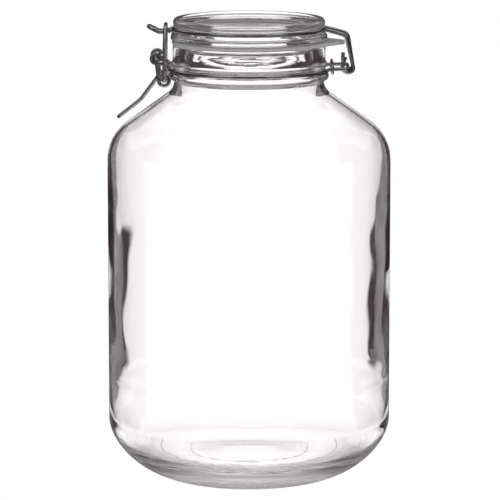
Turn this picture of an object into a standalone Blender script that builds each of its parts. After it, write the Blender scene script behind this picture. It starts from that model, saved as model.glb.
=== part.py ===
"""A large clip top storage jar in clear glass, with its wire closure.

Metres, +Z up. The origin is on the jar's axis, on the surface that it stands on.
The closure's lever is at -X and its hinge is at +X; the camera side is -Y.
"""

from math import acos, asin, atan2, cos, hypot, pi, radians, sin

import bmesh
import bpy
from mathutils import Vector

MM = 0.001
GAP = 0.3 * MM
WELD = 0.01 * MM

# Jar body
BODY_RADIUS = 88.5 * MM
WALL = 4.0 * MM
FOOT_INNER = 38.0 * MM
HEEL_WIDTH = 43.0 * MM
HEEL_HEIGHT = 36.5 * MM
HEEL_POWER = 1.15
PUSH_UP = 3.5 * MM
PUSH_UP_EDGE = 8.0 * MM
PUSH_UP_EDGE_SHARE = 0.7
FLOOR_Z = 12.0 * MM
FLOOR_RADIUS = 38.0 * MM
FLOOR_EDGE_RADIUS = 58.0 * MM
FLOOR_EDGE_RISE = 2.0 * MM
INNER_HEEL_START = 60.0 * MM
INNER_HEEL_LIFT = 2.4 * MM
INNER_HEEL_HEIGHT = 26.0 * MM
SHOULDER_ROUND = 28.0 * MM
SHOULDER_SLOPE = radians(36.0)
SHOULDER_FILLET = 9.0 * MM

# Neck and mouth
NECK_RADIUS = 47.6 * MM
NECK_WAIST = 46.8 * MM
NECK_WAIST_Z = 249.6 * MM
INNER_NECK_Z = 250.5 * MM
INNER_NECK_RADIUS = 43.4 * MM
INNER_NECK = (
    (42.8 * MM, 254.0 * MM),
    (41.8 * MM, 258.0 * MM),
    (40.6 * MM, 262.0 * MM),
    (40.1 * MM, 266.0 * MM),
)
MOUTH_TOP = 272.6 * MM
MOUTH_INNER = 40.0 * MM
LIP_ROUND = 1.2 * MM
INNER_LIP_ROUND = 0.7 * MM
UPPER_BEAD_RADIUS = 48.9 * MM
UPPER_BEAD_Z = 260.6 * MM
UPPER_BEAD_HALF = 1.5 * MM
LOWER_BEAD_RADIUS = 49.7 * MM
LOWER_BEAD_Z = 253.2 * MM
LOWER_BEAD_HALF = 2.2 * MM
LOWER_BEAD_FOOT = 47.9 * MM

# Wire closure
WIRE_RADIUS = 1.2 * MM
RING_WIRE_RADIUS = 0.95 * MM
WIRE_BEND = 2.6 * MM
NECK_GROOVE_Z = 257.4 * MM
NECK_WIRE_RADIUS = 49.4 * MM
LID_GROOVE_Z = 282.7 * MM
LID_WIRE_RADIUS = 47.0 * MM

# Seal
GASKET_BOTTOM = MOUTH_TOP + GAP
GASKET_THICKNESS = 2.2 * MM
GASKET_EDGE = 0.5 * MM
GASKET_INNER = 39.2 * MM
GASKET_OUTER = 48.0 * MM
TAB_ROOT_X = 41.1 * MM
TAB_ROOT_HALF = 18.0 * MM
TAB_SIDE_X = 45.0 * MM
TAB_SIDE_HALF = 17.0 * MM
TAB_NARROW_X = 52.5 * MM
TAB_NARROW_HALF = 5.2 * MM
TAB_END_X = 59.5 * MM
TAB_END_HALF = 3.7 * MM
TAB_THICKNESS = 2.0 * MM

# Lid
LID_SEAT = GASKET_BOTTOM + GASKET_THICKNESS + GAP
LID_TOP = 289.0 * MM
DISH_DEPTH = 2.4 * MM
DISH_FLAT = 29.0 * MM
DISH_EDGE = 43.0 * MM
LID_CROWN_WIDTH = 2.0 * MM
LID_CROWN_HEIGHT = 0.9 * MM
LID_RIM_RADIUS = 47.3 * MM
LID_RIM_ROUND = 1.8 * MM
LID_RIM_HEIGHT = 2.6 * MM
LID_FLANGE_RADIUS = 48.8 * MM
LID_PLUG_RADIUS = 38.5 * MM
LID_PLUG_DEPTH = 7.0 * MM
LID_PLUG_FOOT = 37.8 * MM
LID_PLUG_ROUND = 0.8 * MM
UNDERSIDE_RADIUS = 25.0 * MM
UNDERSIDE_SHARE = 0.56
UNDERSIDE_HOLLOW = 0.6 * MM

# Hinge at +X
HINGE_X = 61.5 * MM
HINGE_Z = 258.5 * MM
HINGE_BAR_Y = 13.8 * MM
HINGE_BEND_X = 51.0 * MM
HOOK_WIDTH = 3.3 * MM
HOOK_DEPTH = 2.8 * MM
LID_LEG_Y = 7.3 * MM
LID_CORNER_Z = 278.8 * MM
LID_CORNER_ROUND = 4.6 * MM
NEAR_CORNER_X = 60.1 * MM
FAR_CORNER_X = 61.6 * MM
NEAR_STUB = (58.3 * MM, 268.2 * MM)
FAR_STUB = (60.4 * MM, 263.7 * MM)
CLIP_RING_X = 51.7 * MM

# Clasp at -X
EYE_Y = 11.6 * MM
EYE_RADIUS = 2.9 * MM
EYE_TURN = radians(265.0)
ARM_BEND_X = -51.4 * MM
ARM_DROP = 0.6 * MM
LEVER_Y = EYE_Y + 2.0 * WIRE_RADIUS + 1.2 * GAP
LINK_Y = LEVER_Y + 2.0 * WIRE_RADIUS + 1.2 * GAP
PIVOT_A = Vector((-57.5 * MM, 0.0, 264.8 * MM))
PIVOT_B = Vector((-52.6 * MM, 0.0, 251.3 * MM))
PIN_REACH = 1.2 * MM
PIN_BEND = 1.3 * MM
COIL_RADIUS = 3.2 * MM
COIL_EXIT = 1.6 * MM
HANDLE_SHIFT = Vector((-0.9 * MM, 0.0, -0.2 * MM))
HANDLE_Y = WIRE_RADIUS + 0.5 * GAP
HANDLE_BEND = Vector((-67.7 * MM, 0.0, 237.8 * MM))
HANDLE_END = Vector((-80.2 * MM, 0.0, 228.1 * MM))
HANDLE_ROUND = 12.0 * MM
TONGUE_Y = 5.6 * MM
TONGUE_DIP = Vector((-49.8 * MM, 0.0, 281.1 * MM))
TONGUE_LOW = Vector((-55.6 * MM, 0.0, 280.6 * MM))
TONGUE_TIP = Vector((-62.4 * MM, 0.0, 283.9 * MM))
TONGUE_ROUNDS = (1.5 * MM, 2.0 * MM, 4.0 * MM, 4.4 * MM)
LINK_WAIST = Vector((-52.2 * MM, 0.0, 272.0 * MM))
LINK_TOP = Vector((-51.9 * MM, 0.0, 284.35 * MM))
LINK_TOP_Y = 9.5 * MM
LINK_ROUNDS = (1.8 * MM, 5.0 * MM, 3.0 * MM)

# Facets
TURN_STEPS = 48
ARC_STEP = radians(22.5)
RING_STEP = radians(7.5)
EYE_STEPS = 12
HOOK_STEPS = 8
COIL_STEPS = 15
END_STEPS = 4
WIRE_SIDES_RESOLUTION = 2
STRAIGHT = 1.5


def clear_scene():
    for item in list(bpy.data.objects):
        bpy.data.objects.remove(item, do_unlink=True)


def new_collection(name):
    collection = bpy.data.collections.new(name)
    bpy.context.scene.collection.children.link(collection)
    return collection


def new_material(name, colour, roughness, metallic=0.0, transmission=0.0):
    material = bpy.data.materials.new(name)
    material.use_nodes = True
    shader = material.node_tree.nodes["Principled BSDF"]
    shader.inputs["Base Color"].default_value = (*colour, 1.0)
    shader.inputs["Roughness"].default_value = roughness
    shader.inputs["Metallic"].default_value = metallic
    shader.inputs["Transmission Weight"].default_value = transmission
    return material


def arc(centre, radius_x, radius_z, start, end, steps):
    """Points (x, z) on an ellipse's arc, angles from +X towards +Z."""
    points = []
    for index in range(steps + 1):
        angle = start + (end - start) * index / steps
        points.append((centre[0] + radius_x * cos(angle), centre[1] + radius_z * sin(angle)))
    return points


def turned(name, profile, material, collection):
    """A solid turned about Z; its profile runs down the outer side."""
    mesh = bpy.data.meshes.new(name)
    edges = [(index, index + 1) for index in range(len(profile) - 1)]
    if profile[0][0] > 0.0:
        edges.append((len(profile) - 1, 0))
    mesh.from_pydata([(x, 0.0, z) for x, z in profile], edges, [])
    solid = bpy.data.objects.new(name, mesh)
    collection.objects.link(solid)
    screw = solid.modifiers.new("turn", "SCREW")
    screw.axis = "Z"
    screw.steps = TURN_STEPS
    screw.render_steps = TURN_STEPS
    screw.use_merge_vertices = True
    screw.merge_threshold = 5.0 * WELD
    screw.use_smooth_shade = True
    mesh.materials.append(material)
    return solid


def rounded(corners, radii):
    """A route through corners, each rounded to its radius (zero keeps it sharp)."""
    route = [Vector(corners[0])]
    for index in range(1, len(corners) - 1):
        corner = Vector(corners[index])
        back = (Vector(corners[index - 1]) - corner).normalized()
        ahead = (Vector(corners[index + 1]) - corner).normalized()
        radius = radii[index]
        half = acos(max(-1.0, min(1.0, back.dot(ahead)))) / 2.0
        if radius == 0.0 or half > STRAIGHT:
            route.append(corner)
            continue
        centre = corner + (back + ahead).normalized() * (radius / sin(half))
        reach = radius * cos(half) / sin(half)
        start = corner + back * reach - centre
        end = corner + ahead * reach - centre
        turn = pi - 2.0 * half
        steps = max(2, int(turn / ARC_STEP + 0.5))
        for step in range(steps + 1):
            share = step / steps
            spoke = start * sin((1.0 - share) * turn) + end * sin(share * turn)
            route.append(centre + spoke / sin(turn))
    route.append(Vector(corners[-1]))
    return route


def wire(name, route, radius, material, collection, closed=False):
    """A round wire along a route of points."""
    curve = bpy.data.curves.new(name, "CURVE")
    curve.dimensions = "3D"
    curve.bevel_depth = radius
    curve.bevel_resolution = WIRE_SIDES_RESOLUTION
    curve.use_fill_caps = not closed
    spline = curve.splines.new("POLY")
    spline.points.add(len(route) - 1)
    for point, place in zip(spline.points, route):
        point.co = (*place, 1.0)
    spline.use_cyclic_u = closed
    spline.use_smooth = True
    solid = bpy.data.objects.new(name, curve)
    collection.objects.link(solid)
    curve.materials.append(material)
    return solid


def ring_route(radius, height, start, end):
    """Points on a level circle, angles from +X towards +Y."""
    steps = max(2, int(abs(end - start) / RING_STEP + 0.5))
    route = []
    for index in range(steps + 1):
        angle = start + (end - start) * index / steps
        route.append(Vector((radius * cos(angle), radius * sin(angle), height)))
    return route


def near(place, y):
    """A place of the middle plane, moved out to y on the near side."""
    return Vector((place.x, -y, place.z))


def far_side(route):
    """The same route at the far side, run backwards."""
    return [Vector((place.x, -place.y, place.z)) for place in reversed(route)]


def heel(steps):
    """The curve from the upright wall down and in to the level base."""
    points = []
    for index in range(steps + 1):
        turn = pi / 2.0 * (1.0 - index / steps)
        x = BODY_RADIUS - HEEL_WIDTH + HEEL_WIDTH * sin(turn) ** HEEL_POWER
        z = HEEL_HEIGHT - HEEL_HEIGHT * cos(turn) ** HEEL_POWER
        points.append((x, z))
    return points


def shoulder(wall_radius, neck_x, neck_z, fillet, top_round):
    """The curve from the neck's foot down the sloping shoulder to the wall."""
    slope_normal = pi / 2.0 - SHOULDER_SLOPE
    low_centre_x = wall_radius - top_round
    cone_x = neck_x + fillet - fillet * cos(slope_normal)
    cone_z = neck_z - fillet * sin(slope_normal)
    touch_x = low_centre_x + top_round * cos(slope_normal)
    touch_z = cone_z - (touch_x - cone_x) * sin(SHOULDER_SLOPE) / cos(SHOULDER_SLOPE)
    low_centre = (low_centre_x, touch_z - top_round * sin(slope_normal))
    foot = arc((neck_x + fillet, neck_z), fillet, fillet, pi, pi + slope_normal, 3)
    low = arc(low_centre, top_round, top_round, slope_normal, 0.0, 6)
    return foot + low


def bead(foot_radius, radius, height, half, steps):
    """A rounded ridge round the neck, from its upper edge to its lower one."""
    return arc((foot_radius, height), radius - foot_radius, half, pi / 2.0, -pi / 2.0, steps)


def make_jar(material, collection):
    inner_wall = BODY_RADIUS - WALL
    floor = [(0.0, FLOOR_Z), (FLOOR_RADIUS, FLOOR_Z)]
    floor.append((FLOOR_EDGE_RADIUS, FLOOR_Z + FLOOR_EDGE_RISE))
    heel_centre = (INNER_HEEL_START, FLOOR_Z + INNER_HEEL_LIFT + INNER_HEEL_HEIGHT)
    heel_reach = inner_wall - INNER_HEEL_START
    inner_heel = arc(heel_centre, heel_reach, INNER_HEEL_HEIGHT, -pi / 2.0, 0.0, 6)
    fillet = SHOULDER_FILLET + WALL
    top_round = SHOULDER_ROUND - WALL
    inner_shoulder = shoulder(inner_wall, INNER_NECK_RADIUS, INNER_NECK_Z, fillet, top_round)
    lip_centre = (MOUTH_INNER + INNER_LIP_ROUND, MOUTH_TOP - INNER_LIP_ROUND)
    lip_inner = arc(lip_centre, INNER_LIP_ROUND, INNER_LIP_ROUND, pi, pi / 2.0, 2)
    lip_corner = (NECK_RADIUS - LIP_ROUND, MOUTH_TOP - LIP_ROUND)
    lip_outer = arc(lip_corner, LIP_ROUND, LIP_ROUND, pi / 2.0, 0.0, 2)
    upper = bead(NECK_RADIUS, UPPER_BEAD_RADIUS, UPPER_BEAD_Z, UPPER_BEAD_HALF, 4)
    lower = bead(LOWER_BEAD_FOOT, LOWER_BEAD_RADIUS, LOWER_BEAD_Z, LOWER_BEAD_HALF, 5)
    outer_shoulder = shoulder(BODY_RADIUS, NECK_WAIST, NECK_WAIST_Z, SHOULDER_FILLET, SHOULDER_ROUND)
    push_up = [(FOOT_INNER, 0.0)]
    push_up.append((FOOT_INNER - PUSH_UP_EDGE, PUSH_UP_EDGE_SHARE * PUSH_UP))
    push_up.append((0.0, PUSH_UP))
    inside = floor + inner_heel + list(reversed(inner_shoulder))
    inside += INNER_NECK
    outside = lip_inner + lip_outer + upper + lower + outer_shoulder + heel(8) + push_up
    return turned("jar_glass", inside + outside, material, collection)


def make_lid(material, collection):
    crown_z = LID_TOP - LID_CROWN_HEIGHT
    cove_width = DISH_EDGE - DISH_FLAT
    cove_height = DISH_DEPTH - LID_CROWN_HEIGHT
    dish = [(0.0, LID_TOP - DISH_DEPTH)]
    dish += arc((DISH_FLAT, crown_z), cove_width, cove_height, -pi / 2.0, 0.0, 3)
    crown_centre = (DISH_EDGE + LID_CROWN_WIDTH, crown_z)
    crown = arc(crown_centre, LID_CROWN_WIDTH, LID_CROWN_HEIGHT, pi, pi / 2.0, 2)[1:]
    rim_centre = (LID_RIM_RADIUS - LID_RIM_ROUND, LID_TOP - LID_RIM_HEIGHT)
    rim = arc(rim_centre, LID_RIM_ROUND, LID_RIM_HEIGHT, pi / 2.0, -pi / 4.0, 4)
    groove_radius = LID_WIRE_RADIUS - WIRE_RADIUS - GAP
    groove = [
        (groove_radius + 0.2 * MM, LID_GROOVE_Z + 1.3 * MM),
        (groove_radius, LID_GROOVE_Z + 0.4 * MM),
        (groove_radius, LID_GROOVE_Z - 0.6 * MM),
        (groove_radius + 1.1 * MM, LID_GROOVE_Z - 1.7 * MM),
    ]
    flange = [
        (LID_FLANGE_RADIUS - 0.9 * MM, LID_SEAT + 3.6 * MM),
        (LID_FLANGE_RADIUS - 0.1 * MM, LID_SEAT + 2.2 * MM),
        (LID_FLANGE_RADIUS, LID_SEAT + 1.0 * MM),
        (LID_FLANGE_RADIUS - 0.8 * MM, LID_SEAT),
    ]
    foot_z = LID_SEAT - LID_PLUG_DEPTH
    plug = [
        (LID_PLUG_RADIUS + 0.3 * MM, LID_SEAT),
        (LID_PLUG_RADIUS, LID_SEAT - 0.4 * MM),
        (LID_PLUG_FOOT, foot_z + LID_PLUG_ROUND),
        (LID_PLUG_FOOT - LID_PLUG_ROUND, foot_z),
    ]
    underside = [
        (UNDERSIDE_RADIUS, foot_z + UNDERSIDE_SHARE * UNDERSIDE_HOLLOW),
        (0.0, foot_z + UNDERSIDE_HOLLOW),
    ]
    profile = dish + crown + rim[1:] + groove + flange + plug + underside
    return turned("lid_glass", profile, material, collection)


def make_gasket(material, collection, cutters):
    top = GASKET_BOTTOM + GASKET_THICKNESS
    profile = [
        (GASKET_INNER, top),
        (GASKET_OUTER - GASKET_EDGE, top),
        (GASKET_OUTER, top - GASKET_EDGE),
        (GASKET_OUTER, GASKET_BOTTOM + GASKET_EDGE),
        (GASKET_OUTER - GASKET_EDGE, GASKET_BOTTOM),
        (GASKET_INNER, GASKET_BOTTOM),
    ]
    gasket = turned("gasket", profile, material, collection)
    tab = bpy.data.curves.new("gasket_tab", "CURVE")
    tab.dimensions = "2D"
    tab.fill_mode = "BOTH"
    tab.extrude = TAB_THICKNESS / 2.0
    outline = [(TAB_ROOT_X, -TAB_ROOT_HALF), (TAB_SIDE_X, -TAB_SIDE_HALF)]
    outline += [(TAB_NARROW_X, -TAB_NARROW_HALF), (TAB_END_X, -TAB_END_HALF)]
    outline += [(x, -y) for x, y in reversed(outline)]
    spline = tab.splines.new("POLY")
    spline.points.add(len(outline) - 1)
    for point, (x, y) in zip(spline.points, outline):
        point.co = (x, y, 0.0, 1.0)
    spline.use_cyclic_u = True
    shape = bpy.data.objects.new("gasket_tab_curve", tab)
    shape.location.z = (GASKET_BOTTOM + top) / 2.0
    cutters.objects.link(shape)
    union = gasket.modifiers.new("tab", "BOOLEAN")
    union.operation = "UNION"
    union.object = meshed(shape, "gasket_tab", cutters)
    return gasket


def meshed(shape, name, collection):
    """A mesh object with a curve object's evaluated form, in the curve's place."""
    bpy.context.view_layer.update()
    depsgraph = bpy.context.evaluated_depsgraph_get()
    mesh = bpy.data.meshes.new_from_object(shape.evaluated_get(depsgraph))
    welded = bmesh.new()
    welded.from_mesh(mesh)
    bmesh.ops.remove_doubles(welded, verts=welded.verts, dist=WELD)
    welded.to_mesh(mesh)
    welded.free()
    solid = bpy.data.objects.new(name, mesh)
    solid.matrix_world = shape.matrix_world.copy()
    bpy.data.objects.remove(shape, do_unlink=True)
    collection.objects.link(solid)
    solid.hide_render = True
    solid.display_type = "WIRE"
    return solid


def make_neck_wire(material, collection):
    """Round the neck groove, out to the hinge loop and to the clasp's two eyes."""
    eye = []
    for index in range(EYE_STEPS + 1):
        turn = EYE_TURN * index / EYE_STEPS
        x = PIVOT_A.x - EYE_RADIUS * sin(turn)
        z = PIVOT_A.z - EYE_RADIUS * cos(turn)
        eye.append(Vector((x, -EYE_Y, z)))
    left_turn = asin(EYE_Y / NECK_WIRE_RADIUS)
    right_turn = asin(HINGE_BAR_Y / NECK_WIRE_RADIUS)
    ring = ring_route(NECK_WIRE_RADIUS, NECK_GROOVE_Z, pi + left_turn, 2.0 * pi - right_turn)
    arm_bend = Vector((ARM_BEND_X, -EYE_Y, eye[0].z - ARM_DROP))
    left = rounded([eye[0], arm_bend, ring[0], ring[1]], [0.0, WIRE_BEND, WIRE_BEND, 0.0])
    right = [
        ring[-2],
        ring[-1],
        Vector((HINGE_BEND_X, -HINGE_BAR_Y, HINGE_Z)),
        Vector((HINGE_X, -HINGE_BAR_Y, HINGE_Z)),
        Vector((HINGE_X, 0.0, HINGE_Z)),
    ]
    right = rounded(right, [0.0, WIRE_BEND, WIRE_BEND, WIRE_BEND, 0.0])
    near_half = list(reversed(eye)) + left[1:-1] + ring[2:-2] + right[1:-1]
    route = near_half + far_side(near_half)
    return wire("neck_wire", route, WIRE_RADIUS, material, collection)


def make_clip_ring(material, collection):
    """The small oval ring that holds the hinge loop's two bars together."""
    height = WIRE_RADIUS + RING_WIRE_RADIUS + GAP
    route = []
    for side in (-1.0, 1.0):
        for index in range(9):
            turn = pi + side * pi / 2.0 + pi * index / 8
            y = side * HINGE_BAR_Y + height * cos(turn)
            z = HINGE_Z + height * sin(turn)
            route.append(Vector((CLIP_RING_X, y, z)))
    return wire("clip_ring", route, RING_WIRE_RADIUS, material, collection, closed=True)


def lid_wire_half(corner_x, stub):
    """From the hook's cut end, up the hinge leg and round the lid to the tongue's tip."""
    corner = Vector((corner_x, -LID_LEG_Y, LID_CORNER_Z))
    lean = atan2(HINGE_X + HOOK_WIDTH - corner.x, corner.z - HINGE_Z)
    hook = []
    for index in range(HOOK_STEPS + 1):
        turn = -pi / 2.0 + (pi + lean) * index / HOOK_STEPS
        x = HINGE_X + HOOK_WIDTH * sin(turn)
        z = HINGE_Z - HOOK_DEPTH * cos(turn)
        hook.append(Vector((x, -LID_LEG_Y, z)))
    right_turn = asin(LID_LEG_Y / LID_WIRE_RADIUS)
    left_turn = asin(TONGUE_Y / LID_WIRE_RADIUS)
    ring = ring_route(LID_WIRE_RADIUS, LID_GROOVE_Z, 2.0 * pi - right_turn, pi + left_turn)
    leg = [hook[-1], corner, ring[0], ring[1]]
    leg = rounded(leg, [0.0, LID_CORNER_ROUND, WIRE_BEND, 0.0])
    tongue = [ring[-2], ring[-1]]
    tongue += [near(place, TONGUE_Y) for place in (TONGUE_DIP, TONGUE_LOW, TONGUE_TIP)]
    tongue.append(TONGUE_TIP)
    tongue = rounded(tongue, [0.0, *TONGUE_ROUNDS, 0.0])
    cut_end = [Vector((stub[0], -LID_LEG_Y, stub[1]))]
    return cut_end + hook + leg[1:-1] + ring[2:-2] + tongue[1:-1]


def make_lid_wire(material, collection):
    near_half = lid_wire_half(NEAR_CORNER_X, NEAR_STUB)
    far_half = far_side(lid_wire_half(FAR_CORNER_X, FAR_STUB))
    return wire("lid_wire", near_half + far_half, WIRE_RADIUS, material, collection)


def make_lever(material, collection):
    """Pin in the eye, leg down to the coil, coil, and the handle's half."""
    between = PIVOT_A - PIVOT_B
    reach = hypot(between.x, between.z)
    leg_touch = atan2(between.z, between.x) + acos(COIL_RADIUS / reach)
    handle_way = (HANDLE_BEND - PIVOT_B).normalized()
    handle_touch = atan2(-handle_way.x, handle_way.z) + 2.0 * pi
    coil = []
    for index in range(COIL_STEPS + 1):
        turn = leg_touch + (handle_touch - leg_touch) * index / COIL_STEPS
        x = PIVOT_B.x + COIL_RADIUS * cos(turn)
        y = -LEVER_Y + (LEVER_Y - EYE_Y) * index / COIL_STEPS
        z = PIVOT_B.z + COIL_RADIUS * sin(turn)
        coil.append(Vector((x, y, z)))
    pin_end = near(PIVOT_A, EYE_Y - WIRE_RADIUS - PIN_REACH)
    pin = rounded([pin_end, near(PIVOT_A, LEVER_Y), coil[0]], [0.0, PIN_BEND, 0.0])
    way_out = coil[-1] + handle_way * COIL_EXIT
    inner = near(way_out + HANDLE_SHIFT, HANDLE_Y)
    end = near(HANDLE_END, HANDLE_Y)
    handle = [coil[-1], way_out, inner, near(HANDLE_BEND, HANDLE_Y), end]
    handle = rounded(handle, [0.0, PIN_BEND, COIL_EXIT, HANDLE_ROUND, 0.0])
    end_way = (HANDLE_END - HANDLE_BEND).normalized()
    tip = []
    for index in range(END_STEPS):
        turn = pi / 2.0 * index / END_STEPS
        aside = Vector((0.0, HANDLE_Y * (1.0 - cos(turn)), 0.0))
        tip.append(end + aside + end_way * HANDLE_Y * sin(turn))
    near_half = pin[:-1] + coil + handle[1:-1] + tip
    route = near_half + [HANDLE_END + end_way * HANDLE_Y] + far_side(near_half)
    return wire("lever", route, WIRE_RADIUS, material, collection)


def make_link(material, collection):
    """The loop that the lever pulls down over the lid wire's tongue."""
    corners = [
        near(PIVOT_B, EYE_Y - WIRE_RADIUS),
        near(PIVOT_B, LINK_Y),
        near(LINK_WAIST, LINK_Y),
        near(LINK_TOP, LINK_TOP_Y),
        LINK_TOP,
    ]
    near_half = rounded(corners, [0.0, *LINK_ROUNDS, 0.0])[:-1]
    route = near_half + far_side(near_half)
    return wire("link", route, WIRE_RADIUS, material, collection)


def main():
    clear_scene()
    jar = new_collection("clip_top_jar")
    cutters = new_collection("cutters")
    glass = new_material("clear_glass", (0.97, 0.97, 0.97), 0.02, transmission=1.0)
    steel = new_material("steel_wire", (0.55, 0.55, 0.56), 0.22, metallic=1.0)
    rubber = new_material("pale_rubber", (0.86, 0.86, 0.85), 0.45, transmission=0.3)
    make_jar(glass, jar)
    make_lid(glass, jar)
    make_gasket(rubber, jar, cutters)
    make_neck_wire(steel, jar)
    make_clip_ring(steel, jar)
    make_lid_wire(steel, jar)
    make_lever(steel, jar)
    make_link(steel, jar)


main()
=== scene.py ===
from math import acos, asin, atan2, cos, hypot, pi, radians, sin

import bpy
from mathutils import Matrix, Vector


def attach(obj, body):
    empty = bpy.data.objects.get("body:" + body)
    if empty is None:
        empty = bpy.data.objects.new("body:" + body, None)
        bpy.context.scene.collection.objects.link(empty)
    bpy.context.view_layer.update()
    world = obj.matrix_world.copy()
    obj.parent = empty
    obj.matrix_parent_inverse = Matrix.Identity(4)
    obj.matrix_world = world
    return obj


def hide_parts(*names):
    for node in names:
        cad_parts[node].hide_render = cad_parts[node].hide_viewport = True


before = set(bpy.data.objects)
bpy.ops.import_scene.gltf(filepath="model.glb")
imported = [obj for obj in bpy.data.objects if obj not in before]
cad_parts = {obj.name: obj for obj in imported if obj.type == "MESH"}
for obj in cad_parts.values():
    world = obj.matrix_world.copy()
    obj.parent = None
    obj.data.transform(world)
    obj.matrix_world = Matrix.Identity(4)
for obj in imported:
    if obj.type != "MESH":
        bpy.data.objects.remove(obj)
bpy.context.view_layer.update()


# Camera. A long lens looks slightly down on the jar from a little over two metres,
# as in the photograph, so that the base is seen from higher than the lid.

CAMERA_DISTANCE = 2.161
CAMERA_HEIGHT = 0.5108
CAMERA_SIDE = 0.0006
CAMERA_PITCH = radians(9.668)
CAMERA_LENS = 251.15
CAMERA_SENSOR = 36.0
CAMERA_NEAR = 0.05

bpy.ops.object.camera_add(
    location=(CAMERA_SIDE, -CAMERA_DISTANCE, CAMERA_HEIGHT),
    rotation=(pi / 2.0 - CAMERA_PITCH, 0.0, 0.0),
)
camera = bpy.context.object
camera.name = "photo_camera"
camera.data.lens = CAMERA_LENS
camera.data.sensor_width = CAMERA_SENSOR
camera.data.clip_start = CAMERA_NEAR
bpy.context.scene.camera = camera


# The wrapper that the finishes and the light are written with. A socket can be added,
# multiplied and so on, and each step adds its Math node.

class Port:
    """A socket of a node tree, with arithmetic."""

    def __init__(self, sheet, output):
        self.sheet = sheet
        self.output = output

    def port(self, name):
        return Port(self.sheet, self.output.node.outputs[name])

    def maths(self, operation, *values):
        return self.sheet.add("ShaderNodeMath", {"operation": operation}, *values)

    def __add__(self, other):
        return self.maths("ADD", self, other)

    def __radd__(self, other):
        return self.maths("ADD", other, self)

    def __sub__(self, other):
        return self.maths("SUBTRACT", self, other)

    def __rsub__(self, other):
        return self.maths("SUBTRACT", other, self)

    def __mul__(self, other):
        return self.maths("MULTIPLY", self, other)

    def __rmul__(self, other):
        return self.maths("MULTIPLY", other, self)

    def __truediv__(self, other):
        return self.maths("DIVIDE", self, other)

    def smooth(self, low, high):
        """0 below low and 1 above high, with a soft step between."""
        settings = {"interpolation_type": "SMOOTHSTEP"}
        return self.sheet.add("ShaderNodeMapRange", settings, self, low, high)


class Sheet:
    """A node tree that nodes are added to by type, settings and input values."""

    def __init__(self, tree):
        self.tree = tree

    def add(self, kind, settings=None, *values, **named):
        node = self.tree.nodes.new(kind)
        for key, value in (settings or {}).items():
            if key == "stops":
                ramp = node.color_ramp
                while len(ramp.elements) < len(value):
                    ramp.elements.new(0.5)
                for element, (place, colour) in zip(ramp.elements, value):
                    element.position = place
                    element.color = (*colour, 1.0)
            else:
                setattr(node, key, value)
        for index, value in enumerate(values):
            self.fill(node.inputs[index], value)
        for name, value in named.items():
            self.fill(node.inputs[name.replace("_", " ")], value)
        return Port(self, node.outputs[0]) if node.outputs else node

    def fill(self, socket, value):
        if isinstance(value, Port):
            self.tree.links.new(value.output, socket)
        elif isinstance(value, tuple) and len(value) == 3 and socket.type == "RGBA":
            socket.default_value = (*value, 1.0)
        else:
            socket.default_value = value


# Room. White all round for the camera, as in the photograph. Only glass and wires show the
# rest: white paper in front and in a strip to the back, black cards at the back's two sides,
# the jar's own shadow under its near side, and above them four soft boxes and a top light.

PAPER_REACH = 0.5
PAPER_HEIGHT = 0.30
PAPER_DROP = 0.0005
PAPER_EDGE = (0.150, 0.165)
PAPER_LIGHT = 1.2
PAPER_MIRRORED = 0.12
FRONT_PAPER = (-0.04, 0.0)
SHADOW_INNER = (0.045, 0.060)
SHADOW_OUTER = (0.085, 0.105)
SHADOW_FRONT = (-0.03, 0.03)
SHADOW_DEPTH = 0.6
TOP_LIGHT = (0.78, 0.90)
BOX_WIDTH = (0.1, 0.5)
BOX_LOW = (0.24, 0.38)
BOX_LIGHT = 0.6
CARD_COLOUR = (0.040, 0.030, 0.034)
WHITE = (1.0, 0.99, 0.99)
SOFT_COLOUR = (0.92, 0.92, 0.92)
FLOOR_RADIUS = 6.0
ROOM_SIDES = 96
BOUNCES = 24
MIRROR_BOUNCES = 20

world = bpy.data.worlds.new("white_room")
world.use_nodes = True
world.node_tree.nodes.clear()
room = Sheet(world.node_tree)
heading = room.add("ShaderNodeTexCoord")
east = room.add("ShaderNodeSeparateXYZ", {}, heading.port("Generated"))
up = east.port("Z")
quarter = up.maths("COSINE", up.maths("ARCTAN2", east, east.port("Y")) * 4.0)
boxes = (0.0 - quarter).smooth(*BOX_WIDTH) * up.smooth(*BOX_LOW) * BOX_LIGHT
lights = up.maths("MAXIMUM", up.smooth(*TOP_LIGHT), boxes)
seen = room.add("ShaderNodeMix", {"data_type": "RGBA"}, lights)
room.fill(seen.output.node.inputs[6], CARD_COLOUR)
room.fill(seen.output.node.inputs[7], WHITE)
glassy = room.add("ShaderNodeBackground", {}, Port(room, seen.output.node.outputs[2]), 1.0)
soft = room.add("ShaderNodeBackground", {}, SOFT_COLOUR, 1.0)
plain = room.add("ShaderNodeBackground", {}, WHITE, 1.0)
path = room.add("ShaderNodeLightPath")
inside = room.add("ShaderNodeMixShader", {}, path.port("Is Diffuse Ray"), glassy, soft)
everything = room.add("ShaderNodeMixShader", {}, path, inside, plain)
room.add("ShaderNodeOutputWorld", {}, everything)
bpy.context.scene.world = world
bpy.context.scene.view_settings.view_transform = "Standard"
bpy.context.scene.cycles.max_bounces = BOUNCES
bpy.context.scene.cycles.glossy_bounces = MIRROR_BOUNCES
bpy.context.scene.cycles.transmission_bounces = MIRROR_BOUNCES

bpy.ops.mesh.primitive_circle_add(vertices=ROOM_SIDES, radius=FLOOR_RADIUS, fill_type="NGON")
floor = bpy.context.object
floor.name = "floor"
floor.visible_transmission = False
floor.visible_glossy = False
pale = bpy.data.materials.new("pale_floor")
pale.use_nodes = True
pale.node_tree.nodes.clear()
sheet = Sheet(pale.node_tree)
glow = sheet.add("ShaderNodeEmission", {}, (1.0, 1.0, 1.0), 1.0)
sheet.add("ShaderNodeOutputMaterial", {}, glow)
floor.data.materials.append(pale)

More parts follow.
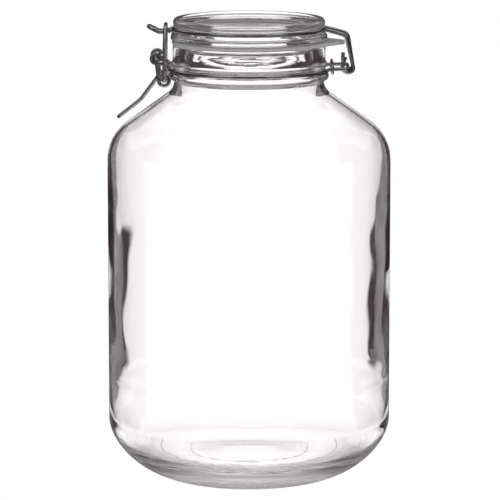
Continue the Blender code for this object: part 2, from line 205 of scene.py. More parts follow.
bpy.ops.object.select_all(action="DESELECT")
bpy.ops.mesh.primitive_cylinder_add(
    vertices=ROOM_SIDES,
    radius=PAPER_REACH,
    depth=PAPER_HEIGHT,
    location=(0.0, 0.0, PAPER_HEIGHT / 2.0 - PAPER_DROP),
)
screen = bpy.context.object
screen.name = "paper_and_cards"
bpy.ops.object.mode_set(mode="EDIT")
bpy.ops.mesh.select_all(action="DESELECT")
bpy.ops.object.mode_set(mode="OBJECT")
for face in screen.data.polygons:
    face.select = face.normal.z > 0.9
bpy.ops.object.mode_set(mode="EDIT")
bpy.ops.mesh.delete(type="FACE")
bpy.ops.object.mode_set(mode="OBJECT")
bpy.ops.object.transform_apply(location=True, rotation=True, scale=True)
screen.visible_camera = False
screen.visible_diffuse = False
screen.visible_shadow = False
paper = bpy.data.materials.new("paper_and_cards")
paper.use_nodes = True
paper.node_tree.nodes.clear()
sheet = Sheet(paper.node_tree)
place = sheet.add("ShaderNodeSeparateXYZ", {}, sheet.add("ShaderNodeTexCoord").port("Object"))
reflected = sheet.add("ShaderNodeLightPath").port("Is Reflection Ray")
sideways = place.maths("ABSOLUTE", place)
out = place.maths("SQRT", place * place + place.port("Y") * place.port("Y"))
under_jar = out.smooth(*SHADOW_INNER) * (1.0 - out.smooth(*SHADOW_OUTER))
under_jar = under_jar * (1.0 - place.port("Y").smooth(*SHADOW_FRONT)) * SHADOW_DEPTH
in_front = 1.0 - place.port("Y").smooth(*FRONT_PAPER)
lit = place.maths("MAXIMUM", 1.0 - sideways.smooth(*PAPER_EDGE), in_front)
strength = lit * (1.0 - under_jar)
strength = strength * (1.0 - reflected * (1.0 - PAPER_MIRRORED))
seen = sheet.add("ShaderNodeMix", {"data_type": "RGBA"}, strength)
sheet.fill(seen.output.node.inputs[6], CARD_COLOUR)
sheet.fill(seen.output.node.inputs[7], WHITE)
glow = sheet.add("ShaderNodeEmission", {}, Port(sheet, seen.output.node.outputs[2]), PAPER_LIGHT)
sheet.add("ShaderNodeOutputMaterial", {}, glow)
screen.data.materials.append(paper)


# Jar. Blown soda glass in one piece, 177 mm across: a thick pressed base, a wall that goes
# from 3 mm low down over 4 mm at mid height to 2.2 mm above and is never quite even, a
# sloping shoulder, and a pressed neck with a groove for the wire.

MM = 0.001
BODY_RADIUS = 88.5 * MM
WALL = 2.2 * MM
WALL_BY_HEIGHT = (
    (45.0, 3.0),
    (60.0, 3.2),
    (68.0, 3.6),
    (80.0, 4.0),
    (110.0, 3.9),
    (145.0, 3.6),
    (170.0, 2.6),
    (190.0, 2.2),
)
HEEL_WALL = 3.2 * MM
FOOT_INNER = 38.0 * MM
HEEL_WIDTH = 43.0 * MM
HEEL_HEIGHT = 36.5 * MM
HEEL_POWER = 1.15
PUSH_UP = 3.5 * MM
FLOOR_Z = 12.0 * MM
FLOOR_FLAT = 37.0 * MM
FLOOR_EDGE = 58.0 * MM
FLOOR_RISE = 2.0 * MM
FLOOR_RIDGE = 0.25 * MM
FLOOR_RIDGE_WIDTH = 1.2 * MM
INNER_HEEL_HEIGHT = 26.0 * MM
SHOULDER_ROUND = 28.0 * MM
SHOULDER_SLOPE = radians(36.0)
SHOULDER_FILLET = 9.0 * MM
NECK_RADIUS = 47.6 * MM
NECK_WAIST = 46.8 * MM
NECK_WAIST_Z = 249.6 * MM
MOUTH_TOP = 272.6 * MM
MOUTH_INNER = 40.0 * MM
LIP_ROUND = 1.2 * MM
INNER_LIP_WIDTH = 0.7 * MM
INNER_LIP_HEIGHT = 0.7 * MM
NECK_WALL = 3.4 * MM
UPPER_BEAD_RADIUS = 48.9 * MM
UPPER_BEAD_Z = 260.6 * MM
LOWER_BEAD_RADIUS = 49.7 * MM
LOWER_BEAD_Z = 253.2 * MM
TURNS = 256
WAVE_SIZE = 0.05
WAVE_DEPTH = 1.1 * MM
WAVE_LOW = 45.0 * MM
WAVE_LOW_FADE = 20.0 * MM
WAVE_HIGH = 200.0 * MM
WAVE_HIGH_FADE = 30.0 * MM


def bow(centre_x, centre_z, radius_x, radius_z, start, end, steps):
    """Points on an ellipse's arc, with angles from +X towards +Z."""
    points = []
    for index in range(steps + 1):
        angle = start + (end - start) * index / steps
        points.append((centre_x + radius_x * cos(angle), centre_z + radius_z * sin(angle)))
    return points


def spun(name, outline):
    """Draws an outline point by point and spins it once round the jar's axis."""
    bpy.ops.object.select_all(action="DESELECT")
    start_x, start_z = outline[0]
    bpy.ops.mesh.primitive_plane_add(size=MM, location=(start_x, 0.0, start_z))
    piece = bpy.context.object
    piece.name = name
    bpy.ops.object.mode_set(mode="EDIT")
    bpy.ops.mesh.merge(type="CENTER")
    for (x, z), (next_x, next_z) in zip(outline, outline[1:]):
        step = (next_x - x, 0.0, next_z - z)
        bpy.ops.mesh.extrude_region_move(TRANSFORM_OT_translate={"value": step})
    bpy.ops.mesh.select_all(action="SELECT")
    bpy.ops.mesh.spin(steps=TURNS, angle=2.0 * pi, center=(0.0, 0.0, 0.0), axis=(0.0, 0.0, 1.0))
    bpy.ops.mesh.select_all(action="SELECT")
    bpy.ops.mesh.remove_doubles(threshold=0.00001)
    bpy.ops.mesh.normals_make_consistent(inside=False)
    bpy.ops.object.mode_set(mode="OBJECT")
    bpy.ops.object.transform_apply(location=True, rotation=True, scale=True)
    bpy.ops.object.shade_smooth_by_angle(angle=radians(25.0))
    return piece


def shoulder(wall_radius, neck_x, neck_z, fillet, shift):
    """From the neck's foot down the sloping shoulder to the upright wall."""
    slope_normal = pi / 2.0 - SHOULDER_SLOPE
    round_off = SHOULDER_ROUND - shift
    centre_x = wall_radius - round_off
    cone_x = neck_x + fillet - fillet * cos(slope_normal)
    cone_z = neck_z - fillet * sin(slope_normal)
    touch_x = centre_x + round_off * cos(slope_normal)
    touch_z = cone_z - (touch_x - cone_x) * sin(SHOULDER_SLOPE) / cos(SHOULDER_SLOPE)
    foot = bow(neck_x + fillet, neck_z, fillet, fillet, pi, pi + slope_normal, 12)
    low_z = touch_z - round_off * sin(slope_normal)
    return foot + bow(centre_x, low_z, round_off, round_off, slope_normal, 0.0, 24)


def heel_curve(steps):
    """From the upright wall down and in to the level foot."""
    points = []
    for index in range(steps + 1):
        turn = pi / 2.0 * (1.0 - index / steps)
        x = BODY_RADIUS - HEEL_WIDTH + HEEL_WIDTH * sin(turn) ** HEEL_POWER
        z = HEEL_HEIGHT - HEEL_HEIGHT * cos(turn) ** HEEL_POWER
        points.append((x, z))
    return points


inner_wall = BODY_RADIUS - WALL
inner_neck = NECK_WAIST - NECK_WALL
heel_start = FLOOR_EDGE + 2.0 * MM
ridge_steps = 6
heel_top = FLOOR_Z + 2.4 * MM + INNER_HEEL_HEIGHT
heel_reach = BODY_RADIUS - HEEL_WALL - heel_start
inside_outline = [(0.0, FLOOR_Z)]
for foot, rise in ((FLOOR_FLAT, 0.0), (FLOOR_EDGE - 2.0 * FLOOR_RIDGE_WIDTH, FLOOR_RISE)):
    for step in range(ridge_steps + 1):
        swell = FLOOR_RIDGE * sin(pi * step / ridge_steps) ** 2
        inside_outline.append((foot + FLOOR_RIDGE_WIDTH * step / ridge_steps, FLOOR_Z + rise + swell))
inside_outline.append((FLOOR_EDGE, FLOOR_Z + FLOOR_RISE))
inside_outline += bow(heel_start, heel_top, heel_reach, INNER_HEEL_HEIGHT, -pi / 2.0, 0.0, 20)
for (low, thick), (high, next_thick) in zip(WALL_BY_HEIGHT, WALL_BY_HEIGHT[1:]):
    for step in range(5):
        share = step / 5
        ease = share * share * (3.0 - 2.0 * share)
        wall = (thick + (next_thick - thick) * ease) * MM
        inside_outline.append((BODY_RADIUS - wall, (low + (high - low) * share) * MM))
inside_outline += reversed(
    shoulder(inner_wall, inner_neck, NECK_WAIST_Z + 0.9 * MM, SHOULDER_FILLET + WALL, WALL)
)
inside_outline += [(inner_neck - 0.6 * MM, 254.0 * MM), (inner_neck - 1.6 * MM, 258.0 * MM)]
inside_outline += [(MOUTH_INNER + 0.6 * MM, 262.0 * MM), (MOUTH_INNER + 0.1 * MM, 266.0 * MM)]
outside_outline = bow(
    MOUTH_INNER + INNER_LIP_WIDTH,
    MOUTH_TOP - INNER_LIP_HEIGHT,
    INNER_LIP_WIDTH,
    INNER_LIP_HEIGHT,
    pi,
    pi / 2.0,
    16,
)
outside_outline += bow(
    NECK_RADIUS - LIP_ROUND, MOUTH_TOP - LIP_ROUND, LIP_ROUND, LIP_ROUND, pi / 2.0, 0.0, 6
)
outside_outline += bow(
    NECK_RADIUS, UPPER_BEAD_Z, UPPER_BEAD_RADIUS - NECK_RADIUS, 1.5 * MM, pi / 2.0, -pi / 2.0, 10
)
outside_outline += bow(
    NECK_RADIUS + 0.3 * MM,
    LOWER_BEAD_Z,
    LOWER_BEAD_RADIUS - NECK_RADIUS - 0.3 * MM,
    2.2 * MM,
    pi / 2.0,
    -pi / 2.0,
    12,
)
outside_outline += shoulder(BODY_RADIUS, NECK_WAIST, NECK_WAIST_Z, SHOULDER_FILLET, 0.0)
outside_outline += heel_curve(32)
outside_outline += [(FOOT_INNER, 0.0), (FOOT_INNER - 8.0 * MM, 0.7 * PUSH_UP), (0.0, PUSH_UP)]
jar = spun("jar_shell", inside_outline + outside_outline)
inner_skin = jar.vertex_groups.new(name="inner_skin")
for corner in jar.data.vertices:
    reach = hypot(corner.co.x, corner.co.y)
    if WAVE_LOW < corner.co.z < WAVE_HIGH and reach < BODY_RADIUS - 1.0 * MM:
        from_low = (corner.co.z - WAVE_LOW) / WAVE_LOW_FADE
        from_high = (WAVE_HIGH - corner.co.z) / WAVE_HIGH_FADE
        inner_skin.add([corner.index], min(1.0, from_low, from_high), "REPLACE")
waves = bpy.data.textures.new("slow_waves", "CLOUDS")
waves.noise_scale = WAVE_SIZE
waves.noise_depth = 1
unevenness = jar.modifiers.new("unevenness", "DISPLACE")
unevenness.texture = waves
unevenness.texture_coords = "LOCAL"
unevenness.direction = "NORMAL"
unevenness.strength = WAVE_DEPTH
unevenness.mid_level = 0.5
unevenness.vertex_group = "inner_skin"
bpy.ops.object.modifier_apply(modifier="unevenness")

GLASS_COLOUR = (0.99, 0.98, 0.985)
GLASS_IOR = 1.52
HEEL_TINT = (0.86, 0.83, 0.845)
HEEL_TINT_Z = (0.010, 0.026)
HEEL_TINT_REACH = (0.056, 0.072)
LID_STREAKS = 0.03


def clear_glass(name, streaks=None, frost=None):
    """Clear soda glass. Streaks gives the height of its level mould lines and frost its
    roughness, from the height on the piece. With them, the thick heel is a little darker."""
    material = bpy.data.materials.new(name)
    material.use_nodes = True
    material.node_tree.nodes.clear()
    finish = Sheet(material.node_tree)
    place = finish.add("ShaderNodeTexCoord").port("Object")
    colour = GLASS_COLOUR
    line_relief = LID_STREAKS
    roughness = 0.0
    if streaks:
        across = finish.add("ShaderNodeSeparateXYZ", {}, place)
        height = across.port("Z")
        reach = across.maths("SQRT", across * across + across.port("Y") * across.port("Y"))
        thick = (1.0 - height.smooth(*HEEL_TINT_Z)) * reach.smooth(*HEEL_TINT_REACH)
        tint = finish.add("ShaderNodeMix", {"data_type": "RGBA"}, thick)
        finish.fill(tint.output.node.inputs[6], GLASS_COLOUR)
        finish.fill(tint.output.node.inputs[7], HEEL_TINT)
        colour = Port(finish, tint.output.node.outputs[2])
        line_relief = streaks(height)
        roughness = frost(height)
    upright = finish.add("ShaderNodeMapping", {}, place, Scale=(1.0, 1.0, 0.35))
    level = finish.add("ShaderNodeMapping", {}, place, Scale=(1.0, 1.0, 9.0))
    waves = finish.add("ShaderNodeTexNoise", {}, Vector=upright, Scale=38.0, Detail=1.5)
    lines = finish.add("ShaderNodeTexNoise", {}, Vector=level, Scale=45.0, Detail=2.0)
    relief = waves * 0.06 + lines * line_relief
    bump = finish.add("ShaderNodeBump", {}, Strength=1.0, Distance=0.001, Height=relief)
    shader = finish.add(
        "ShaderNodeBsdfPrincipled",
        {},
        Base_Color=colour,
        Roughness=roughness,
        IOR=GLASS_IOR,
        Transmission_Weight=1.0,
        Normal=bump,
    )
    finish.add("ShaderNodeOutputMaterial", {}, shader)
    return material


def jar_streaks(height):
    """Mould lines on the heel and the neck, none on the blown wall."""
    heel = 1.0 - height.smooth(0.014, 0.034)
    neck = height.smooth(0.240, 0.250)
    return heel * 0.22 + neck * 0.03


def jar_frost(height):
    """The bearing ring under the jar is stippled."""
    return (1.0 - height.smooth(0.004, 0.010)) * 0.3


body_glass = clear_glass("body_glass", jar_streaks, jar_frost)
jar.data.materials.append(body_glass)
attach(jar, "jar")
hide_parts("jar_glass")


# Lid. A heavy pressed glass disc with a shallow dish on top, a rim, a groove that the
# wire lies in, a flange that presses on the seal, and a plug that sits in the mouth.

GASKET_BOTTOM = MOUTH_TOP + 0.3 * MM
GASKET_THICKNESS = 2.2 * MM
LID_SEAT = GASKET_BOTTOM + GASKET_THICKNESS + 0.3 * MM
LID_TOP = 289.0 * MM
LID_RIM_RADIUS = 47.3 * MM
LID_FLANGE_RADIUS = 48.8 * MM
LID_PLUG_RADIUS = 38.5 * MM
LID_PLUG_DEPTH = 7.0 * MM
PLUG_FOOT = 37.8 * MM
PLUG_ROUND = 0.8 * MM
PLUG_HOLLOW = 0.6 * MM
DISH_DEPTH = 2.4 * MM
DISH_FLAT = 29.0 * MM
DISH_EDGE = 43.0 * MM
CROWN_WIDTH = 2.0 * MM
CROWN_HEIGHT = 0.9 * MM
WIRE_RADIUS = 1.2 * MM
LID_GROOVE_Z = 282.7 * MM
LID_WIRE_RADIUS = 47.0 * MM

groove_radius = LID_WIRE_RADIUS - WIRE_RADIUS - 0.3 * MM
lid_outline = [(0.0, LID_TOP - DISH_DEPTH), (0.9 * DISH_FLAT, LID_TOP - DISH_DEPTH)]
cove_reach = DISH_EDGE - DISH_FLAT
cove_rise = DISH_DEPTH - CROWN_HEIGHT
crown_z = LID_TOP - CROWN_HEIGHT
lid_outline += bow(DISH_FLAT, crown_z, cove_reach, cove_rise, -pi / 2.0, 0.0, 16)
lid_outline += bow(DISH_EDGE + CROWN_WIDTH, crown_z, CROWN_WIDTH, CROWN_HEIGHT, pi, pi / 2.0, 8)[1:]
lid_outline += bow(
    LID_RIM_RADIUS - 1.8 * MM, LID_TOP - 2.6 * MM, 1.8 * MM, 2.6 * MM, pi / 2.0, -pi / 3.2, 14
)
lid_outline += bow(
    groove_radius + 1.4 * MM, LID_GROOVE_Z, 1.4 * MM, 1.6 * MM, 0.72 * pi, 1.28 * pi, 10
)
lid_outline += [(LID_FLANGE_RADIUS - 1.6 * MM, LID_SEAT + 5.2 * MM)]
lid_outline += bow(
    LID_FLANGE_RADIUS - 1.8 * MM, LID_SEAT + 1.8 * MM, 1.8 * MM, 3.0 * MM, 1.2, 0.0, 8
)
lid_outline += bow(
    LID_FLANGE_RADIUS - 1.2 * MM, LID_SEAT + 1.2 * MM, 1.2 * MM, 1.2 * MM, 0.0, -pi / 2.0, 6
)
lid_outline += [(LID_PLUG_RADIUS + 0.5 * MM, LID_SEAT), (LID_PLUG_RADIUS, LID_SEAT - 0.5 * MM)]
plug_foot = LID_SEAT - LID_PLUG_DEPTH
plug_flat = PLUG_FOOT - PLUG_ROUND
lid_outline += bow(plug_flat, plug_foot + PLUG_ROUND, PLUG_ROUND, PLUG_ROUND, 0.0, -pi / 2.0, 10)
for index in range(1, 13):
    share = 1.0 - index / 12
    lid_outline.append((plug_flat * share, plug_foot + PLUG_HOLLOW * (1.0 - share * share)))
lid = spun("lid_disc", lid_outline)
lid_glass = clear_glass("lid_glass_finish")
lid.data.materials.append(lid_glass)
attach(lid, "lid")
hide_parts("lid_glass")


# Seal. A flat ring of milky rubber, 2.2 mm thick, between the lid and the mouth, its inner
# edge in shade. One side runs out to a tab that is pulled to let the air in.

GASKET_INNER = 39.2 * MM
GASKET_OUTER = 48.0 * MM
TAB_END_X = 59.5 * MM
TAB_END_WIDTH = 7.5 * MM
TAB_INSET = 0.1 * MM
SHADED_EDGE = (39.6 * MM, 40.6 * MM)
SHADED_RUBBER = (0.035, 0.028, 0.032)

seal_top = GASKET_BOTTOM + GASKET_THICKNESS
edge = 0.4 * MM
seal_outline = [(GASKET_INNER + edge, seal_top)]
seal_outline += bow(GASKET_OUTER - edge, seal_top - edge, edge, edge, pi / 2.0, 0.0, 4)
seal_outline += bow(GASKET_OUTER - edge, GASKET_BOTTOM + edge, edge, edge, 0.0, -pi / 2.0, 4)
seal_outline += bow(GASKET_INNER + edge, GASKET_BOTTOM + edge, edge, edge, -pi / 2.0, -pi, 4)
seal_outline += bow(GASKET_INNER + edge, seal_top - edge, edge, edge, pi, pi / 2.0, 4)
seal = spun("seal_ring", seal_outline)

tip_angle = atan2(TAB_END_WIDTH / 2.0, TAB_END_X)
tip_reach = hypot(TAB_END_X, TAB_END_WIDTH / 2.0)
leave_angle = tip_angle + acos(GASKET_OUTER / tip_reach)
leave = (GASKET_OUTER * 0.995 * cos(leave_angle), GASKET_OUTER * 0.995 * sin(leave_angle))
bpy.ops.object.select_all(action="DESELECT")
bpy.ops.mesh.primitive_plane_add(
    size=2.0 * MM, location=(TAB_END_X - MM, 0.0, GASKET_BOTTOM + TAB_INSET)
)
tab = bpy.context.object
corners = sorted(tab.data.vertices, key=lambda corner: (corner.co.x, corner.co.y))
base = tab.location.copy()
tab_corners = [(leave[0], -leave[1]), leave]
tab_corners += [(TAB_END_X, -TAB_END_WIDTH / 2.0), (TAB_END_X, TAB_END_WIDTH / 2.0)]
for corner, (x, y) in zip(corners, tab_corners):
    corner.co = (x - base.x, y - base.y, 0.0)
bpy.ops.object.mode_set(mode="EDIT")
bpy.ops.mesh.select_all(action="SELECT")
rise = GASKET_THICKNESS - 2.0 * TAB_INSET
bpy.ops.mesh.extrude_region_move(TRANSFORM_OT_translate={"value": (0.0, 0.0, rise)})
bpy.ops.mesh.select_all(action="SELECT")
bpy.ops.mesh.normals_make_consistent(inside=False)
bpy.ops.object.mode_set(mode="OBJECT")
bpy.ops.object.transform_apply(location=True, rotation=True, scale=True)
bevel = tab.modifiers.new("edge", "BEVEL")
bevel.width = 0.3 * MM
bevel.segments = 2
bpy.ops.object.modifier_apply(modifier="edge")
bpy.ops.object.select_all(action="DESELECT")
bpy.context.view_layer.objects.active = seal
seal.select_set(True)
join = seal.modifiers.new("tab", "BOOLEAN")
join.operation = "UNION"
join.object = tab
bpy.ops.object.modifier_apply(modifier="tab")
bpy.data.objects.remove(tab, do_unlink=True)
bpy.ops.object.shade_smooth_by_angle(angle=radians(35.0))

rubber = bpy.data.materials.new("milky_rubber")
rubber.use_nodes = True
rubber.node_tree.nodes.clear()
finish = Sheet(rubber.node_tree)
place = finish.add("ShaderNodeTexCoord").port("Object")
bloom = finish.add("ShaderNodeTexNoise", {}, Vector=place, Scale=260.0, Detail=3.0)
tone = finish.add(
    "ShaderNodeValToRGB", {"stops": [(0.3, (0.60, 0.59, 0.595)), (0.7, (0.70, 0.69, 0.695))]}, bloom
)
across = finish.add("ShaderNodeSeparateXYZ", {}, place)
reach = across.maths("SQRT", across * across + across.port("Y") * across.port("Y"))
shaded_tone = finish.add("ShaderNodeMix", {"data_type": "RGBA"}, reach.smooth(*SHADED_EDGE))
finish.fill(shaded_tone.output.node.inputs[6], SHADED_RUBBER)
finish.fill(shaded_tone.output.node.inputs[7], tone)
grain = finish.add("ShaderNodeTexNoise", {}, Vector=place, Scale=1800.0, Detail=2.0)
skin = finish.add("ShaderNodeBump", {}, Strength=0.3, Distance=0.0001, Height=grain)
shader = finish.add(
    "ShaderNodeBsdfPrincipled",
    {},
    Base_Color=Port(finish, shaded_tone.output.node.outputs[2]),
    Roughness=0.42,
    Transmission_Weight=0.45,
    Normal=skin,
)
finish.add("ShaderNodeOutputMaterial", {}, shader)
seal.data.materials.append(rubber)
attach(seal, "lid")
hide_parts("gasket")


# Neck wire. Bright drawn steel, 2.4 mm thick. It lies in the neck's groove, runs out to
# the hinge's loop at one side, and ends at the clasp in two curled eyes.

WIRE_BEND = 2.6 * MM
NECK_GROOVE_Z = 257.4 * MM
NECK_WIRE_RADIUS = 49.4 * MM
HINGE_X = 61.5 * MM
HINGE_Z = 258.5 * MM
HINGE_BAR_Y = 13.8 * MM
HINGE_BEND_X = 51.0 * MM
EYE_Y = 11.6 * MM
EYE_RADIUS = 2.9 * MM
ARM_BEND_X = -51.4 * MM
ARM_DROP = 0.6 * MM
PIVOT_A = Vector((-57.5 * MM, 0.0, 264.8 * MM))
SIDES = 6


def rounded(corners, radii):
    """A route through corners, each rounded to its own radius."""
    route = [Vector(corners[0])]
    for index in range(1, len(corners) - 1):
        corner = Vector(corners[index])
        back = (Vector(corners[index - 1]) - corner).normalized()
        ahead = (Vector(corners[index + 1]) - corner).normalized()
        half = acos(max(-1.0, min(1.0, back.dot(ahead)))) / 2.0
        if half > 1.53:
            route.append(corner)
            continue
        centre = corner + (back + ahead).normalized() * (radii[index] / sin(half))
        reach = radii[index] * cos(half) / sin(half)
        start = corner + back * reach - centre
        end = corner + ahead * reach - centre
        turn = pi - 2.0 * half
        steps = max(3, int(turn / radians(8.0) + 0.5))
        for step in range(steps + 1):
            share = step / steps
            spoke = start * sin((1.0 - share) * turn) + end * sin(share * turn)
            route.append(centre + spoke / sin(turn))
    route.append(Vector(corners[-1]))
    return route


def ring_route(radius, height, start, end):
    """Points on a level circle, with angles from +X towards +Y."""
    steps = int(abs(end - start) / radians(2.5))
    route = []
    for index in range(steps + 1):
        angle = start + (end - start) * index / steps
        route.append(Vector((radius * cos(angle), radius * sin(angle), height)))
    return route


def far_side(route):
    """The same route at the far side of the jar, run backwards."""
    return [Vector((place.x, -place.y, place.z)) for place in reversed(route)]


def bent_wire(name, route, radius, closed=False):
    """A round wire along a route, with flat cut ends."""
    bpy.ops.object.select_all(action="DESELECT")
    bpy.ops.curve.primitive_nurbs_path_add()
    piece = bpy.context.object
    piece.name = name
    curve = piece.data
    curve.splines.clear()
    spline = curve.splines.new("POLY")
    spline.points.add(len(route) - 1)
    for point, place in zip(spline.points, route):
        point.co = (*place, 1.0)
    spline.use_cyclic_u = closed
    curve.dimensions = "3D"
    curve.bevel_depth = radius
    curve.bevel_resolution = SIDES
    curve.use_fill_caps = not closed
    bpy.ops.object.convert(target="MESH")
    bpy.ops.object.mode_set(mode="EDIT")
    bpy.ops.mesh.select_all(action="SELECT")
    bpy.ops.mesh.remove_doubles(threshold=0.000005)
    bpy.ops.mesh.normals_make_consistent(inside=False)
    bpy.ops.object.mode_set(mode="OBJECT")
    bpy.ops.object.transform_apply(location=True, rotation=True, scale=True)
    bpy.ops.object.shade_smooth_by_angle(angle=radians(40.0))
    return piece


eye = []
for index in range(37):
    turn = radians(265.0) * index / 36
    eye.append(Vector((PIVOT_A.x - EYE_RADIUS * sin(turn), -EYE_Y, PIVOT_A.z - EYE_RADIUS * cos(turn))))
left_turn = asin(EYE_Y / NECK_WIRE_RADIUS)
right_turn = asin(HINGE_BAR_Y / NECK_WIRE_RADIUS)
neck_arc = ring_route(NECK_WIRE_RADIUS, NECK_GROOVE_Z, pi + left_turn, 2.0 * pi - right_turn)
arm = rounded(
    [eye[0], Vector((ARM_BEND_X, -EYE_Y, eye[0].z - ARM_DROP)), neck_arc[0], neck_arc[3]],
    [0.0, WIRE_BEND, WIRE_BEND, 0.0],
)
loop = rounded(
    [
        neck_arc[-4],
        neck_arc[-1],
        Vector((HINGE_BEND_X, -HINGE_BAR_Y, HINGE_Z)),
        Vector((HINGE_X, -HINGE_BAR_Y, HINGE_Z)),
        Vector((HINGE_X, 0.0, HINGE_Z)),
    ],
    [0.0, WIRE_BEND, WIRE_BEND, WIRE_BEND, 0.0],
)
near_half = list(reversed(eye)) + arm[1:-1] + neck_arc[4:-4] + loop[1:-1]
neck_wire = bent_wire("neck_wire_bent", near_half + far_side(near_half), WIRE_RADIUS)

steel = bpy.data.materials.new("drawn_steel")
steel.use_nodes = True
steel.node_tree.nodes.clear()
finish = Sheet(steel.node_tree)
place = finish.add("ShaderNodeTexCoord").port("Object")
mottle = finish.add("ShaderNodeTexNoise", {}, Vector=place, Scale=420.0, Detail=4.0)
tone = finish.add(
    "ShaderNodeValToRGB", {"stops": [(0.3, (0.34, 0.335, 0.34)), (0.7, (0.48, 0.475, 0.48))]}, mottle
)
scratches = finish.add("ShaderNodeTexNoise", {}, Vector=place, Scale=1500.0, Detail=3.0)
skin = finish.add("ShaderNodeBump", {}, Strength=0.2, Distance=0.00002, Height=scratches)
shader = finish.add(
    "ShaderNodeBsdfPrincipled",
    {},
    Base_Color=tone,
    Metallic=1.0,
    Roughness=mottle * 0.08 + 0.06,
    Normal=skin,
)
finish.add("ShaderNodeOutputMaterial", {}, shader)
neck_wire.data.materials.append(steel)
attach(neck_wire, "jar")
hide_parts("neck_wire")


# Clip ring. A small oval ring of thinner wire, pressed round the two bars of the hinge's
# loop so that the neck wire stays tight in its groove.

RING_WIRE_RADIUS = 0.95 * MM
CLIP_RING_X = 51.7 * MM

ring_height = WIRE_RADIUS + RING_WIRE_RADIUS + 0.3 * MM
oval = []
for side in (-1.0, 1.0):
    for index in range(25):
        turn = pi + side * pi / 2.0 + pi * index / 24
        y = side * HINGE_BAR_Y + ring_height * cos(turn)
        oval.append(Vector((CLIP_RING_X, y, HINGE_Z + ring_height * sin(turn))))
clip_ring = bent_wire("clip_ring_bent", oval, RING_WIRE_RADIUS, closed=True)
clip_ring.data.materials.append(steel)
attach(clip_ring, "jar")
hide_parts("clip_ring")


# Lid wire. Hooked under the hinge's bar by its two cut ends, it rises outside the seal's
# tab, runs round the lid's groove and ends in a tongue that turns up at its tip.

HOOK_WIDTH = 3.3 * MM
HOOK_DEPTH = 2.8 * MM
LID_LEG_Y = 7.3 * MM
LID_CORNER_Z = 278.8 * MM
NEAR_CORNER_X = 60.1 * MM
FAR_CORNER_X = 61.6 * MM
NEAR_STUB = (58.3 * MM, 268.2 * MM)
FAR_STUB = (60.4 * MM, 263.7 * MM)
TONGUE_Y = 5.6 * MM
TONGUE_DIP = Vector((-49.8 * MM, 0.0, 281.1 * MM))
TONGUE_LOW = Vector((-55.6 * MM, 0.0, 280.6 * MM))
TONGUE_TIP = Vector((-62.4 * MM, 0.0, 283.9 * MM))


def near(place, y):
    """A place of the middle plane, moved out to y on the camera's side."""
    return Vector((place.x, -y, place.z))


def lid_wire_half(corner_x, stub):
    """From a hook's cut end, up the hinge leg and half way round to the tongue's tip."""
    corner = Vector((corner_x, -LID_LEG_Y, LID_CORNER_Z))
    lean = atan2(HINGE_X + HOOK_WIDTH - corner.x, corner.z - HINGE_Z)
    hook = []
    for index in range(25):
        turn = -pi / 2.0 + (pi + lean) * index / 24
        x = HINGE_X + HOOK_WIDTH * sin(turn)
        hook.append(Vector((x, -LID_LEG_Y, HINGE_Z - HOOK_DEPTH * cos(turn))))
    right = asin(LID_LEG_Y / LID_WIRE_RADIUS)
    left = asin(TONGUE_Y / LID_WIRE_RADIUS)
    arc = ring_route(LID_WIRE_RADIUS, LID_GROOVE_Z, 2.0 * pi - right, pi + left)
    leg = rounded([hook[-1], corner, arc[0], arc[3]], [0.0, 4.6 * MM, WIRE_BEND, 0.0])
    tongue = [arc[-4], arc[-1]]
    tongue += [near(place, TONGUE_Y) for place in (TONGUE_DIP, TONGUE_LOW, TONGUE_TIP)]
    tongue.append(TONGUE_TIP)
    tongue = rounded(tongue, [0.0, 1.5 * MM, 2.0 * MM, 4.0 * MM, 4.4 * MM, 0.0])
    start = [Vector((stub[0], -LID_LEG_Y, stub[1]))]
    return start + hook + leg[1:-1] + arc[4:-4] + tongue[1:-1]


lid_route = lid_wire_half(NEAR_CORNER_X, NEAR_STUB)
lid_route += far_side(lid_wire_half(FAR_CORNER_X, FAR_STUB))
lid_wire = bent_wire("lid_wire_bent", lid_route, WIRE_RADIUS)
lid_wire.data.materials.append(steel)
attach(lid_wire, "lid")
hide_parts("lid_wire")


# Lever. One wire, bent the same at both sides: a pin in the neck wire's eye, a leg down
# to a coil that holds the link, and a handle whose two wires lie side by side.

LEVER_Y = EYE_Y + 2.0 * WIRE_RADIUS + 0.36 * MM
LINK_Y = LEVER_Y + 2.0 * WIRE_RADIUS + 0.36 * MM
PIVOT_B = Vector((-52.6 * MM, 0.0, 251.3 * MM))
COIL_RADIUS = 3.2 * MM
HANDLE_Y = WIRE_RADIUS + 0.15 * MM
HANDLE_BEND = Vector((-67.7 * MM, 0.0, 237.8 * MM))
HANDLE_END = Vector((-80.2 * MM, 0.0, 228.1 * MM))
HANDLE_SHIFT = Vector((-0.9 * MM, 0.0, -0.2 * MM))

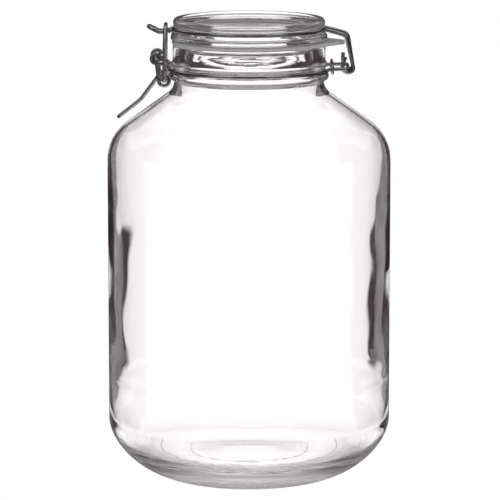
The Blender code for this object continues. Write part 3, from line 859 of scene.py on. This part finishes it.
between = PIVOT_A - PIVOT_B
leg_touch = atan2(between.z, between.x) + acos(COIL_RADIUS / hypot(between.x, between.z))
handle_way = (HANDLE_BEND - PIVOT_B).normalized()
handle_touch = atan2(-handle_way.x, handle_way.z) + 2.0 * pi
coil = []
for index in range(49):
    turn = leg_touch + (handle_touch - leg_touch) * index / 48
    y = -LEVER_Y + (LEVER_Y - EYE_Y) * index / 48
    coil.append(Vector((PIVOT_B.x + COIL_RADIUS * cos(turn), y, PIVOT_B.z + COIL_RADIUS * sin(turn))))
pin_end = near(PIVOT_A, EYE_Y - WIRE_RADIUS - 1.2 * MM)
pin = rounded([pin_end, near(PIVOT_A, LEVER_Y), coil[0]], [0.0, 1.3 * MM, 0.0])
way_out = coil[-1] + handle_way * 1.6 * MM
inner = near(way_out + HANDLE_SHIFT, HANDLE_Y)
end = near(HANDLE_END, HANDLE_Y)
handle = rounded(
    [coil[-1], way_out, inner, near(HANDLE_BEND, HANDLE_Y), end],
    [0.0, 1.3 * MM, 1.6 * MM, 12.0 * MM, 0.0],
)
end_way = (HANDLE_END - HANDLE_BEND).normalized()
tip = []
for index in range(8):
    turn = pi / 2.0 * index / 8
    aside = Vector((0.0, HANDLE_Y * (1.0 - cos(turn)), 0.0))
    tip.append(end + aside + end_way * HANDLE_Y * sin(turn))
lever_half = pin[:-1] + coil + handle[1:-1] + tip
lever_route = lever_half + [HANDLE_END + end_way * HANDLE_Y] + far_side(lever_half)
lever = bent_wire("lever_bent", lever_route, WIRE_RADIUS)
lever.data.materials.append(steel)
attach(lever, "lever")
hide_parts("lever")


# Link. The loop that the lever pulls down over the tongue. Its ends are bent in through
# the lever's coils, and its legs close in towards the bar at the top.

LINK_WAIST = Vector((-52.2 * MM, 0.0, 272.0 * MM))
LINK_TOP = Vector((-51.9 * MM, 0.0, 284.35 * MM))
LINK_TOP_Y = 9.5 * MM

link_corners = [near(PIVOT_B, EYE_Y - WIRE_RADIUS), near(PIVOT_B, LINK_Y)]
link_corners += [near(LINK_WAIST, LINK_Y), near(LINK_TOP, LINK_TOP_Y), LINK_TOP]
link_half = rounded(link_corners, [0.0, 1.8 * MM, 5.0 * MM, 3.0 * MM, 0.0])[:-1]
link = bent_wire("link_bent", link_half + far_side(link_half), WIRE_RADIUS)
link.data.materials.append(steel)
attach(link, "link")
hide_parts("link")
